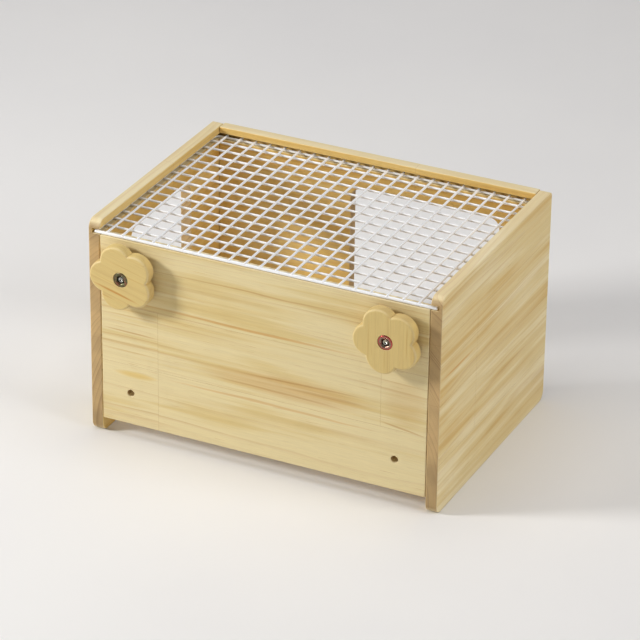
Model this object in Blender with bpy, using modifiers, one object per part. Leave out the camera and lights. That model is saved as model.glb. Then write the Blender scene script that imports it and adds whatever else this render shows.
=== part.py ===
"""Wooden rabbit hutch: four pine boards dowelled into an open-bottomed box, a welded wire
top that slides out forwards, and two flower knobs that clamp the hutch to cage wires.

Blender 4.5, metres, +Z up. X runs along the front, left to right, and Y runs from the front
to the back. The origin is at floor height, in the middle of the whole outline.
"""

import math

import bmesh
import bpy
from mathutils import Matrix

# ---------------------------------------------------------------- driving dimensions
WIDTH = 0.350  # over both side panels
DEPTH = 0.246  # side panels, front end to back end
HEIGHT = 0.216  # side and back panels
BOARD = 0.0115  # thickness of every board
GAP = 0.0003  # clearance between parts that touch

FRONT_LOW = 0.0155  # underside of the front and back panels
FRONT_TOP = 0.2032  # the wire top passes over this edge

GROOVE_LOW = 0.2032
GROOVE_HIGH = 0.2082
GROOVE_DEPTH = 0.0080
GROOVE_BACK = 0.2425  # where the side grooves stop, from the front
BACK_GROOVE_HIGH = 0.2095  # the back panel's groove is taller

DOOR_TOP = 0.1815
DOOR_RADIUS = 0.010
SIDE_DOOR = (0.059, 0.177)  # near and far jamb, from the front
BACK_DOOR = (0.1512, 0.3030)  # left and right jamb, from the left side

END_RADIUS = 0.009  # rounded corners of the side panels
BACK_TOP_RADIUS = 0.004
EASE = 0.0010  # eased edges

BOLTS = {"left": (-0.1340, 0.1710), "right": (0.1280, 0.1702)}  # X and Z of each bolt
SPARES = {"left": (-0.1337, 0.0478), "right": (0.1325, 0.0468)}  # holes left open
BOLT_HOLE = 0.0070

WIRE_GAP = 0.0045  # room for the cage wires behind a knob
KNOB_THICK = 0.0115
KNOB_CENTRES = 0.01635  # lobe centres from the axis
KNOB_LOBE = 0.01575  # lobe radius
KNOB_ROUND = 0.0024
KNOB_TURN = {"left": 2.0, "right": 7.0}  # degrees, as each one happens to stand

PITCH_LONG = 0.0154  # between the wires that run front to back
FIRST_LONG = 0.0190  # the first of them, from the left side
LONG_WIRES = 21
PITCH_CROSS = 0.0159
LAST_CROSS = 0.2242  # the last of the cross wires, from the front
CROSS_WIRES = 14
REAR_WIRE = 0.2368  # the frame's rear wire, from the front
ROD_FRONT = 0.0021  # the stout front rod, from the front
RAIL = 0.1682  # the outermost wires, from the middle
WIRE = 0.0028
ROD_RADIUS = 0.0015
MESH_Z = 0.2051

DOWEL_RADIUS = 0.0030
DOWEL_LENGTH = 0.0280
DOWEL_IN_SIDE = 0.0075
DOWEL_HEIGHTS = (0.040, 0.110, 0.178)

# The knobs stand out in front, so the middle of the outline is in front of the box's middle.
FRONT_Y = -(DEPTH - WIRE_GAP - KNOB_THICK) / 2

# ---------------------------------------------------------------- scene and helpers
for old in list(bpy.data.objects):
    bpy.data.objects.remove(old, do_unlink=True)

scene = bpy.context.scene
parts = bpy.data.collections.new("rabbit_hutch")
tools = bpy.data.collections.new("rabbit_hutch_cutters")
scene.collection.children.link(parts)
scene.collection.children.link(tools)


def material(name, colour, roughness, metallic=0.0):
    mat = bpy.data.materials.new(name)
    mat.use_nodes = True
    shader = mat.node_tree.nodes["Principled BSDF"]
    shader.inputs["Base Color"].default_value = (*colour, 1.0)
    shader.inputs["Roughness"].default_value = roughness
    shader.inputs["Metallic"].default_value = metallic
    mat.diffuse_color = (*colour, 1.0)
    return mat


def part(name, mesh, mat, location=(0, 0, 0), rotation=(0, 0, 0)):
    obj = bpy.data.objects.new(name, mesh)
    obj.location = location
    obj.rotation_euler = rotation
    parts.objects.link(obj)
    mesh.materials.clear()
    mesh.materials.append(mat)
    return obj


def cutter(name, mesh, location=(0, 0, 0), rotation=(0, 0, 0)):
    obj = bpy.data.objects.new(name, mesh)
    obj.location = location
    obj.rotation_euler = rotation
    obj.hide_render = True
    obj.display_type = "WIRE"
    tools.objects.link(obj)
    return obj


def boolean(obj, other, operation="DIFFERENCE"):
    mod = obj.modifiers.new(operation.lower() + "_" + other.name, "BOOLEAN")
    mod.operation = operation
    mod.solver = "EXACT"
    mod.object = other


def ease(obj, width=EASE, segments=1):
    mod = obj.modifiers.new("eased_edges", "BEVEL")
    mod.width = width
    mod.segments = segments
    mod.limit_method = "ANGLE"
    mod.angle_limit = math.radians(40)


def box_mesh(name, low, high):
    """A box between two corners, with its origin at zero."""
    bm = bmesh.new()
    bmesh.ops.create_cube(bm, size=1.0)
    size = [b - a for a, b in zip(low, high)]
    middle = [(a + b) / 2 for a, b in zip(low, high)]
    bmesh.ops.scale(bm, vec=size, verts=bm.verts)
    bmesh.ops.translate(bm, vec=middle, verts=bm.verts)
    mesh = bpy.data.meshes.new(name)
    bm.to_mesh(mesh)
    bm.free()
    return mesh


def rod_mesh(name, radius, length, sides=16, turn=0.0):
    """A cylinder along Z, centred on the origin."""
    bm = bmesh.new()
    bmesh.ops.create_cone(
        bm, cap_ends=True, segments=sides, radius1=radius, radius2=radius, depth=length
    )
    bmesh.ops.rotate(bm, verts=bm.verts, matrix=Matrix.Rotation(turn, 3, "Z"))
    mesh = bpy.data.meshes.new(name)
    bm.to_mesh(mesh)
    bm.free()
    return mesh


def arc(centre, radius, start, end, steps):
    """Points along an arc, angles in degrees."""
    points = []
    for i in range(steps + 1):
        a = math.radians(start + (end - start) * i / steps)
        points.append(
            (centre[0] + radius * math.cos(a), centre[1] + radius * math.sin(a))
        )
    return points


def outline_mesh(name, points, thickness, bevel=0.0):
    """A flat outline in XY, as thick as stated along Z, with rounded rims if bevel is given."""
    curve = bpy.data.curves.new(name, "CURVE")
    curve.dimensions = "2D"
    curve.fill_mode = "BOTH"
    curve.extrude = thickness / 2 - bevel
    curve.bevel_depth = bevel
    curve.bevel_resolution = 1
    spline = curve.splines.new("POLY")
    spline.points.add(len(points) - 1)
    for p, (x, y) in zip(spline.points, points):
        p.co = (x, y, 0, 1)
    spline.use_cyclic_u = True
    guide = bpy.data.objects.new(name + "_outline", curve)
    tools.objects.link(guide)
    bpy.context.view_layer.update()
    graph = bpy.context.evaluated_depsgraph_get()
    mesh = bpy.data.meshes.new_from_object(guide.evaluated_get(graph))
    mesh.name = name
    bpy.data.objects.remove(guide, do_unlink=True)
    bpy.data.curves.remove(curve)
    bm = bmesh.new()
    bm.from_mesh(mesh)
    bmesh.ops.remove_doubles(bm, verts=bm.verts, dist=1e-6)
    bmesh.ops.dissolve_limit(
        bm,
        angle_limit=math.radians(0.5),
        verts=bm.verts,
        edges=bm.edges,
        delimit=set(),
    )
    bmesh.ops.recalc_face_normals(bm, faces=bm.faces)
    bm.to_mesh(mesh)
    bm.free()
    return mesh


def turned(name, profile, mat, location, rotation, closed=False, steps=24):
    """A turned piece: the profile (radius, height) is spun about the piece's own Z."""
    bm = bmesh.new()
    verts = [bm.verts.new((r, 0, z)) for r, z in profile]
    for a, b in zip(verts, verts[1:]):
        bm.edges.new((a, b))
    if closed:
        bm.edges.new((verts[-1], verts[0]))
    mesh = bpy.data.meshes.new(name)
    bm.to_mesh(mesh)
    bm.free()
    obj = part(name, mesh, mat, location, rotation)
    spin = obj.modifiers.new("spin", "SCREW")
    spin.axis = "Z"
    spin.angle = 2 * math.pi
    spin.screw_offset = 0
    spin.steps = steps
    spin.render_steps = steps
    spin.use_merge_vertices = True
    spin.merge_threshold = 0.00001
    spin.use_smooth_shade = True
    return obj


pine_side = material("pine_side_panels", (0.72, 0.55, 0.31), 0.55)
pine_front = material("pine_front_panel", (0.74, 0.58, 0.33), 0.55)
pine_back = material("pine_back_panel", (0.70, 0.53, 0.29), 0.55)
pine_knob = material("pine_knob", (0.76, 0.58, 0.30), 0.5)
beech = material("beech_dowel", (0.66, 0.47, 0.28), 0.6)
coated = material("white_coated_wire", (0.86, 0.88, 0.90), 0.35)
nut_steel = material("plated_insert_nut", (0.35, 0.25, 0.18), 0.35, 1.0)
bolt_steel = material("plated_bolt", (0.62, 0.62, 0.60), 0.3, 1.0)

# ---------------------------------------------------------------- side panels
BACK_Y = FRONT_Y + DEPTH
INNER_X = WIDTH / 2 - BOARD  # inner faces of the side panels


def side_outline(doorway):
    """Profile of a side panel in (Y, Z), front end at zero, run anticlockwise."""
    r, b = END_RADIUS, BACK_TOP_RADIUS
    points = arc((r, r), r, 180, 270, 4)
    if doorway:
        near, far = SIDE_DOOR
        d = DOOR_RADIUS
        points += [(near, 0.0)]
        points += arc((near + d, DOOR_TOP - d), d, 180, 90, 4)
        points += arc((far - d, DOOR_TOP - d), d, 90, 0, 4)
        points += [(far, 0.0)]
    points += arc((DEPTH - r, r), r, 270, 360, 4)
    points += arc((DEPTH - b, HEIGHT - b), b, 0, 90, 3)
    points += arc((r, HEIGHT - r), r, 90, 180, 4)
    return points


def side_panel(name, sign, doorway):
    mesh = outline_mesh(name, side_outline(doorway), BOARD)
    # The outline's X becomes the hutch's Y, and its Y becomes Z.
    mesh.transform(Matrix(((0, 0, 1, 0), (1, 0, 0, 0), (0, 1, 0, 0), (0, 0, 0, 1))))
    obj = part(name, mesh, pine_side, (sign * (WIDTH / 2 - BOARD / 2), FRONT_Y, 0))
    ease(obj)
    inner = sign * INNER_X
    floor = sign * (INNER_X + GROOVE_DEPTH)
    groove = cutter(
        name + "_groove",
        box_mesh(
            name + "_groove",
            (min(inner - sign * 0.002, floor), FRONT_Y - 0.002, GROOVE_LOW),
            (
                max(inner - sign * 0.002, floor),
                FRONT_Y + GROOVE_BACK,
                GROOVE_HIGH,
            ),
        ),
    )
    boolean(obj, groove)
    return obj


left_side = side_panel("left_side_panel", -1, True)
right_side = side_panel("right_side_panel", 1, False)

# ---------------------------------------------------------------- front and back panels
half = INNER_X - GAP

front = part(
    "front_panel",
    box_mesh(
        "front_panel",
        (-half, FRONT_Y, FRONT_LOW),
        (half, FRONT_Y + BOARD, FRONT_TOP),
    ),
    pine_front,
)
ease(front)
for side in ("left", "right"):
    for level, (x, z) in (("upper", BOLTS[side]), ("lower", SPARES[side])):
        name = f"bolt_hole_{level}_{side}"
        boolean(
            front,
            cutter(
                name,
                rod_mesh(name, BOLT_HOLE / 2, BOARD * 3, 20),
                (x, FRONT_Y + BOARD / 2, z),
                (math.pi / 2, 0, 0),
            ),
        )

door_left, door_right = (x - WIDTH / 2 for x in BACK_DOOR)
d = DOOR_RADIUS
back_points = [(-half, FRONT_LOW), (door_left, FRONT_LOW)]
back_points += arc((door_left + d, DOOR_TOP - d), d, 180, 90, 4)
back_points += arc((door_right - d, DOOR_TOP - d), d, 90, 0, 4)
back_points += [(door_right, FRONT_LOW), (half, FRONT_LOW)]
back_points += [(half, HEIGHT), (-half, HEIGHT)]
back_mesh = outline_mesh("back_panel", back_points, BOARD)
back_mesh.transform(Matrix.Rotation(math.pi / 2, 4, "X"))
back = part("back_panel", back_mesh, pine_back, (0, BACK_Y - BOARD / 2, 0))
ease(back)
boolean(
    back,
    cutter(
        "back_groove",
        box_mesh(
            "back_groove",
            (-WIDTH, BACK_Y - BOARD - 0.002, GROOVE_LOW),
            (WIDTH, BACK_Y - BOARD + GROOVE_DEPTH, BACK_GROOVE_HIGH),
        ),
    ),
)

# ---------------------------------------------------------------- dowels
dowel_profile = [
    (0.0, DOWEL_LENGTH / 2),
    (DOWEL_RADIUS - 0.0008, DOWEL_LENGTH / 2),
    (DOWEL_RADIUS, DOWEL_LENGTH / 2 - 0.0008),
    (DOWEL_RADIUS, -DOWEL_LENGTH / 2 + 0.0008),
    (DOWEL_RADIUS - 0.0008, -DOWEL_LENGTH / 2),
    (0.0, -DOWEL_LENGTH / 2),
]
levels = ("low", "middle", "high")
for end, y, panel in (
    ("front", FRONT_Y + BOARD / 2, front),
    ("back", BACK_Y - BOARD / 2, back),
):
    for side, sign, side_obj in (("left", -1, left_side), ("right", 1, right_side)):
        for level, z in zip(levels, DOWEL_HEIGHTS):
            # The dowel stands DOWEL_IN_SIDE into the side panel, the rest is in the panel.
            x = sign * (INNER_X + DOWEL_IN_SIDE - DOWEL_LENGTH / 2)
            name = f"dowel_{end}_{side}_{level}"
            turned(name, dowel_profile, beech, (x, y, z), (0, math.pi / 2, 0), steps=10)
            hole = cutter(
                name + "_hole",
                rod_mesh(
                    name + "_hole", DOWEL_RADIUS + GAP, DOWEL_LENGTH + 2 * GAP, 12
                ),
                (x, y, z),
                (0, math.pi / 2, 0),
            )
            boolean(panel, hole)
            boolean(side_obj, hole)

# ---------------------------------------------------------------- sliding wire top
xs = [-RAIL]
xs += [FIRST_LONG - WIDTH / 2 + PITCH_LONG * i for i in range(LONG_WIRES)]
xs += [RAIL]
ys = [ROD_FRONT]
ys += [LAST_CROSS - PITCH_CROSS * i for i in reversed(range(CROSS_WIRES))]
ys += [REAR_WIRE]
bm = bmesh.new()
bmesh.ops.create_grid(
    bm, x_segments=len(xs) - 1, y_segments=len(ys) - 1, size=1.0
)
for v in bm.verts:
    i = round((v.co.x + 1) / 2 * (len(xs) - 1))
    j = round((v.co.y + 1) / 2 * (len(ys) - 1))
    v.co = (xs[i], ys[j] - ROD_FRONT, 0)
grid = bpy.data.meshes.new("wire_mesh_top")
bm.to_mesh(grid)
bm.free()
wire_top = part(
    "wire_mesh_top", grid, coated, (0, FRONT_Y + ROD_FRONT, MESH_Z)
)
bars = wire_top.modifiers.new("wires", "WIREFRAME")
bars.thickness = WIRE
bars.use_boundary = True
bars.use_replace = True
bars.use_even_offset = False
boolean(
    wire_top,
    cutter(
        "front_rod",
        rod_mesh("front_rod", ROD_RADIUS, 2 * RAIL + WIRE, 8, math.pi / 8),
        (0, FRONT_Y + ROD_FRONT, MESH_Z),
        (0, math.pi / 2, 0),
    ),
    "UNION",
)

# ---------------------------------------------------------------- clamping knobs
def flower_outline(turn, lobe, centres):
    """Five round lobes about the origin, with one of them pointing left at no turn."""
    points = []
    # Each lobe's arc runs between the notches that it shares with its neighbours.
    notch = centres * math.cos(math.radians(36)) + math.sqrt(
        lobe**2 - (centres * math.sin(math.radians(36))) ** 2
    )
    reach = math.degrees(
        math.atan2(
            notch * math.sin(math.radians(36)),
            notch * math.cos(math.radians(36)) - centres,
        )
    )
    for k in range(5):
        at = 36 + 72 * k + turn
        centre = (
            centres * math.cos(math.radians(at)),
            centres * math.sin(math.radians(at)),
        )
        points += arc(centre, lobe, at - reach, at + reach, 8)[:-1]
    return points


face = KNOB_THICK / 2
nut_profile = [
    (0.0070, face - 0.0001),
    (0.0070, face - 0.0013),
    (0.0042, face - 0.0013),
    (0.0042, -face + 0.0005),
    (0.0033, -face + 0.0005),
    (0.0033, face - 0.0001),
]
head = BOARD + GAP + 0.0012 + GAP  # the head's underside, from the panel's front face
end = WIRE_GAP + KNOB_THICK - 0.0010  # the bolt's end, in front of the panel
bolt_profile = [
    (0.0, end),
    (0.0024, end),
    (0.00295, end - 0.0006),
    (0.00295, -head),
    (0.0065, -head),
    (0.0065, -head - 0.0008),
    (0.0056, -head - 0.0020),
    (0.0036, -head - 0.0029),
    (0.0, -head - 0.0031),
]
washer_profile = [
    (0.0080, -BOARD - GAP),
    (0.0080, -BOARD - GAP - 0.0012),
    (0.0033, -BOARD - GAP - 0.0012),
    (0.0033, -BOARD - GAP),
]
facing_front = (math.pi / 2, 0, 0)

for side, (bolt_x, bolt_z) in BOLTS.items():
    on_panel = (bolt_x, FRONT_Y, bolt_z)
    knob_middle = (bolt_x, FRONT_Y - WIRE_GAP - KNOB_THICK / 2, bolt_z)

    knob = part(
        f"knob_{side}",
        outline_mesh(
            f"knob_{side}",
            flower_outline(
                KNOB_TURN[side], KNOB_LOBE - KNOB_ROUND, KNOB_CENTRES
            ),
            KNOB_THICK,
            KNOB_ROUND,
        ),
        pine_knob,
        knob_middle,
        facing_front,
    )
    knob.data.shade_smooth()
    knob.data.set_sharp_from_angle(angle=math.radians(35))
    for tag, radius, depth, at in (
        ("bore", 0.0045, 0.020, 0.0),
        ("recess", 0.0073, 0.0032, KNOB_THICK / 2),
    ):
        name = f"knob_{side}_{tag}"
        boolean(
            knob,
            cutter(
                name,
                rod_mesh(name, radius, depth, 24),
                (
                    knob_middle[0],
                    knob_middle[1] - at,
                    knob_middle[2],
                ),
                facing_front,
            ),
        )

    turned(
        f"insert_nut_{side}",
        nut_profile,
        nut_steel,
        knob_middle,
        facing_front,
        closed=True,
    )
    turned(
        f"washer_{side}",
        washer_profile,
        bolt_steel,
        on_panel,
        facing_front,
        closed=True,
    )
    bolt = turned(
        f"bolt_{side}", bolt_profile, bolt_steel, on_panel, facing_front, steps=20
    )
    socket = cutter(
        f"bolt_{side}_socket",
        rod_mesh(f"bolt_{side}_socket", 0.0023, 0.0044, 6),
        (on_panel[0], on_panel[1] + head + 0.0031, on_panel[2]),
        facing_front,
    )
    boolean(bolt, socket)

bpy.context.view_layer.update()
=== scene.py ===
import math

import bmesh
import bpy
from mathutils import Matrix, Vector


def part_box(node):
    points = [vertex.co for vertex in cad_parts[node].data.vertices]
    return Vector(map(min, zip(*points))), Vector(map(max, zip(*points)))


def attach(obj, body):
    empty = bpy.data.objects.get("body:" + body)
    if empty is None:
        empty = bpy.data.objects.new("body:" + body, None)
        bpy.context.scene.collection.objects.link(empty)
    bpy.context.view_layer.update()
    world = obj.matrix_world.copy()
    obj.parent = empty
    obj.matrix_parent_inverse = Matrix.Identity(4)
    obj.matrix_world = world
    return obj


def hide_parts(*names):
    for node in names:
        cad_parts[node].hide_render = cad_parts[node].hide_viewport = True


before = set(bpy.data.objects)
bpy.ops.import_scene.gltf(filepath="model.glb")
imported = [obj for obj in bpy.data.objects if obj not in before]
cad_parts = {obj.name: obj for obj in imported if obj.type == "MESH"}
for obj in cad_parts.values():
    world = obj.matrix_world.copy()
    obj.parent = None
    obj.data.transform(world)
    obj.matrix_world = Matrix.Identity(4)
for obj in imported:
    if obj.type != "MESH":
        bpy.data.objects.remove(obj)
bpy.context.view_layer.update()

MM = 0.001
scene = bpy.context.scene


# ------------------------------------------------------------------ frame positions
def span(node):
    low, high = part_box(node)
    return low, high


LEFT_LOW, LEFT_HIGH = span("left_side_panel")
RIGHT_LOW, RIGHT_HIGH = span("right_side_panel")
FRONT_LOW, FRONT_HIGH = span("front_panel")
BACK_LOW, BACK_HIGH = span("back_panel")
WIRE_LOW, WIRE_HIGH = span("wire_mesh_top")

HALF_WIDTH = RIGHT_HIGH.x
INNER = RIGHT_LOW.x
FRONT_Y = FRONT_LOW.y
BACK_Y = BACK_HIGH.y
BOARD = HALF_WIDTH - INNER
HEIGHT = RIGHT_HIGH.z
FRONT_FOOT = FRONT_LOW.z
FRONT_TOP = FRONT_HIGH.z
PANEL_HALF = FRONT_HIGH.x
DEPTH = BACK_Y - FRONT_Y

GROOVE_LOW = FRONT_TOP
GROOVE_HIGH = GROOVE_LOW + 5.0 * MM
GROOVE_DEPTH = 8.0 * MM
GROOVE_BACK = FRONT_Y + 242.5 * MM
BACK_GROOVE_HIGH = GROOVE_LOW + 6.3 * MM
DOOR_TOP = 181.5 * MM
DOOR_RADIUS = 10.0 * MM
SIDE_DOOR = (FRONT_Y + 59.0 * MM, FRONT_Y + 177.0 * MM)
BACK_DOOR = (-23.8 * MM, 128.0 * MM)
BOLTS = {"left": (-134.0 * MM, 171.0 * MM), "right": (128.0 * MM, 170.2 * MM)}
SPARES = {"left": (-133.7 * MM, 47.8 * MM), "right": (132.5 * MM, 46.8 * MM)}
KNOB_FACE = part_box("knob_left")[0].y
KNOB_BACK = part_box("knob_left")[1].y
DOWEL_HEIGHTS = {"low": 40.0 * MM, "middle": 110.0 * MM, "high": 178.0 * MM}


# ------------------------------------------------------------------ mesh helpers
def mesh_object(name, bm_or_mesh):
    if isinstance(bm_or_mesh, bmesh.types.BMesh):
        bmesh.ops.recalc_face_normals(bm_or_mesh, faces=bm_or_mesh.faces)
        mesh = bpy.data.meshes.new(name)
        bm_or_mesh.to_mesh(mesh)
        bm_or_mesh.free()
    else:
        mesh = bm_or_mesh
        mesh.name = name
    obj = bpy.data.objects.new(name, mesh)
    scene.collection.objects.link(obj)
    return obj


def bake(obj):
    """Applies the modifiers of obj to its mesh."""
    bpy.context.view_layer.update()
    graph = bpy.context.evaluated_depsgraph_get()
    mesh = bpy.data.meshes.new_from_object(obj.evaluated_get(graph))
    old = obj.data
    obj.modifiers.clear()
    obj.data = mesh
    mesh.name = obj.name
    bpy.data.meshes.remove(old)


def drop(obj):
    mesh = obj.data
    bpy.data.objects.remove(obj, do_unlink=True)
    bpy.data.meshes.remove(mesh)


def arc(centre, radius, start, end, steps):
    """Points along an arc, angles in degrees."""
    points = []
    for i in range(steps + 1):
        a = math.radians(start + (end - start) * i / steps)
        points.append(
            (centre[0] + radius * math.cos(a), centre[1] + radius * math.sin(a))
        )
    return points


def prism(bm, points, low, high, place):
    """A closed prism: a 2D outline between two heights, put in place by a matrix."""
    bottom = [bm.verts.new(place @ Vector((x, y, low))) for x, y in points]
    top = [bm.verts.new(place @ Vector((x, y, high))) for x, y in points]
    n = len(points)
    bm.faces.new(bottom[::-1])
    bm.faces.new(top)
    for i in range(n):
        j = (i + 1) % n
        bm.faces.new((bottom[i], bottom[j], top[j], top[i]))


def lathe(bm, profile, place, steps=64, ring=False):
    """Spins a profile of (radius, height) about Z. A radius of 0 makes a pole."""
    rings = []
    for r, z in profile:
        if r < 1e-9:
            rings.append([bm.verts.new(place @ Vector((0, 0, z)))])
            continue
        rings.append(
            [
                bm.verts.new(
                    place
                    @ Vector(
                        (
                            r * math.cos(2 * math.pi * i / steps),
                            r * math.sin(2 * math.pi * i / steps),
                            z,
                        )
                    )
                )
                for i in range(steps)
            ]
        )
    pairs = list(zip(rings, rings[1:]))
    if ring:
        pairs.append((rings[-1], rings[0]))
    for a, b in pairs:
        for i in range(steps):
            j = (i + 1) % steps
            if len(a) == 1 and len(b) > 1:
                bm.faces.new((a[0], b[i], b[j]))
            elif len(b) == 1 and len(a) > 1:
                bm.faces.new((a[i], a[j], b[0]))
            elif len(a) > 1:
                bm.faces.new((a[i], a[j], b[j], b[i]))


def soften(obj, width, segments=3, angle=40):
    mod = obj.modifiers.new("soften", "BEVEL")
    mod.width = width
    mod.segments = segments
    mod.limit_method = "ANGLE"
    mod.angle_limit = math.radians(angle)
    mod.use_clamp_overlap = True
    bake(obj)


def cut(obj, *tools):
    """Takes each tool, a bmesh of closed shapes, out of obj."""
    for i, bm in enumerate(tools):
        tool = mesh_object(f"{obj.name}_tool_{i}", bm)
        mod = obj.modifiers.new("cut", "BOOLEAN")
        mod.operation = "DIFFERENCE"
        mod.solver = "EXACT"
        mod.object = tool
        bake(obj)
        drop(tool)


def shade(obj, angle=42, weighted=True):
    """Smooth shading that keeps flat faces flat and breaks at sharp corners."""
    obj.data.shade_smooth()
    obj.data.set_sharp_from_angle(angle=math.radians(angle))
    if weighted:
        mod = obj.modifiers.new("normals", "WEIGHTED_NORMAL")
        mod.mode = "FACE_AREA_WITH_ANGLE"
        mod.weight = 50
        mod.keep_sharp = True
        bake(obj)


def along_x(x=0.0, y=0.0, z=0.0):
    """Places a piece's own Z along +X."""
    return Matrix.Translation((x, y, z)) @ Matrix.Rotation(math.pi / 2, 4, "Y")


def facing_front(x, y, z):
    """Places a piece's own Z along -Y, out of the front."""
    return Matrix.Translation((x, y, z)) @ Matrix.Rotation(math.pi / 2, 4, "X")


def spool(bm, radius, low, high, chamfer, place, steps=48):
    """A drill that also breaks both rims of the hole between low and high."""
    c = chamfer
    lathe(
        bm,
        [
            (0, low - 4 * c),
            (radius + 5 * c, low - 4 * c),
            (radius, low + c),
            (radius, high - c),
            (radius + 5 * c, high + 4 * c),
            (0, high + 4 * c),
        ],
        place,
        steps,
    )


# ------------------------------------------------------------------ material helpers
def srgb(r, g, b):
    out = []
    for c in (r, g, b):
        c /= 255
        out.append(c / 12.92 if c <= 0.04045 else ((c + 0.055) / 1.055) ** 2.4)
    return (*out, 1.0)


class Net:
    """A material whose nodes are added by short calls."""

    def __init__(self, name):
        self.mat = bpy.data.materials.new(name)
        self.mat.use_nodes = True
        self.tree = self.mat.node_tree
        self.tree.nodes.clear()
        self.out = self.add("ShaderNodeOutputMaterial")
        self.shader = self.add("ShaderNodeBsdfPrincipled")
        self.tree.links.new(self.shader.outputs[0], self.out.inputs["Surface"])
        self.coord = self.add("ShaderNodeTexCoord")

    def add(self, kind, **settings):
        node = self.tree.nodes.new(kind)
        for k, v in settings.items():
            setattr(node, k, v)
        return node

    def put(self, socket, value):
        if isinstance(value, bpy.types.NodeSocket):
            self.tree.links.new(value, socket)
        elif value is not None:
            socket.default_value = value

    def math(self, op, a, b=None, c=None, clamp=False):
        node = self.add("ShaderNodeMath", operation=op, use_clamp=clamp)
        for socket, value in zip(node.inputs, (a, b, c)):
            self.put(socket, value)
        return node.outputs[0]

    def plus(self, a, b):
        return self.math("ADD", a, b)

    def minus(self, a, b):
        return self.math("SUBTRACT", a, b)

    def times(self, a, b):
        return self.math("MULTIPLY", a, b)

    def vec(self, op, a, b=None, scale=None):
        node = self.add("ShaderNodeVectorMath", operation=op)
        self.put(node.inputs[0], a)
        self.put(node.inputs[1], b)
        if scale is not None:
            self.put(node.inputs["Scale"], scale)
        return node.outputs["Value" if op in ("DOT_PRODUCT", "LENGTH") else "Vector"]

    def split(self, v):
        node = self.add("ShaderNodeSeparateXYZ")
        self.put(node.inputs[0], v)
        return node.outputs[0], node.outputs[1], node.outputs[2]

    def join(self, x, y, z):
        node = self.add("ShaderNodeCombineXYZ")
        for socket, value in zip(node.inputs, (x, y, z)):
            self.put(socket, value)
        return node.outputs[0]

    def noise(self, vector, scale=1.0, detail=2.0, rough=0.5, distortion=0.0):
        node = self.add("ShaderNodeTexNoise")
        self.put(node.inputs["Vector"], vector)
        node.inputs["Scale"].default_value = scale
        node.inputs["Detail"].default_value = detail
        node.inputs["Roughness"].default_value = rough
        node.inputs["Distortion"].default_value = distortion
        return node.outputs[0]

    def ramp(self, factor, stops, mode="LINEAR"):
        node = self.add("ShaderNodeValToRGB")
        node.color_ramp.interpolation = mode
        cells = node.color_ramp.elements
        while len(cells) < len(stops):
            cells.new(0.5)
        for cell, (at, colour) in zip(cells, stops):
            cell.position = at
            cell.color = colour if not isinstance(colour, float) else (
                colour,
                colour,
                colour,
                1,
            )
        self.put(node.inputs[0], factor)
        return node.outputs[0]

    def mix(self, factor, a, b, blend="MIX"):
        node = self.add("ShaderNodeMix", data_type="RGBA", blend_type=blend)
        self.put(node.inputs[0], factor)
        self.put(node.inputs[6], a)
        self.put(node.inputs[7], b)
        return node.outputs[2]

    def between(self, value, a, b, c=0.0, d=1.0, smooth=False):
        node = self.add(
            "ShaderNodeMapRange",
            interpolation_type="SMOOTHSTEP" if smooth else "LINEAR",
        )
        node.clamp = True
        for socket, v in zip(node.inputs, (value, a, b, c, d)):
            self.put(socket, v)
        return node.outputs[0]

    def attribute(self, name):
        return self.add("ShaderNodeAttribute", attribute_name=name)

    def bump(self, height, strength, distance):
        node = self.add("ShaderNodeBump")
        node.inputs["Strength"].default_value = strength
        node.inputs["Distance"].default_value = distance
        self.put(node.inputs["Height"], height)
        return node.outputs["Normal"]


PALE = srgb(234, 217, 170)
HONEY = srgb(224, 201, 142)
WARM = srgb(212, 176, 104)
LATE = srgb(186, 132, 62)
STREAK = srgb(208, 150, 68)
END_PALE = srgb(190, 160, 112)
END_DARK = srgb(122, 84, 48)
GLUE = srgb(172, 128, 74)


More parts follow.
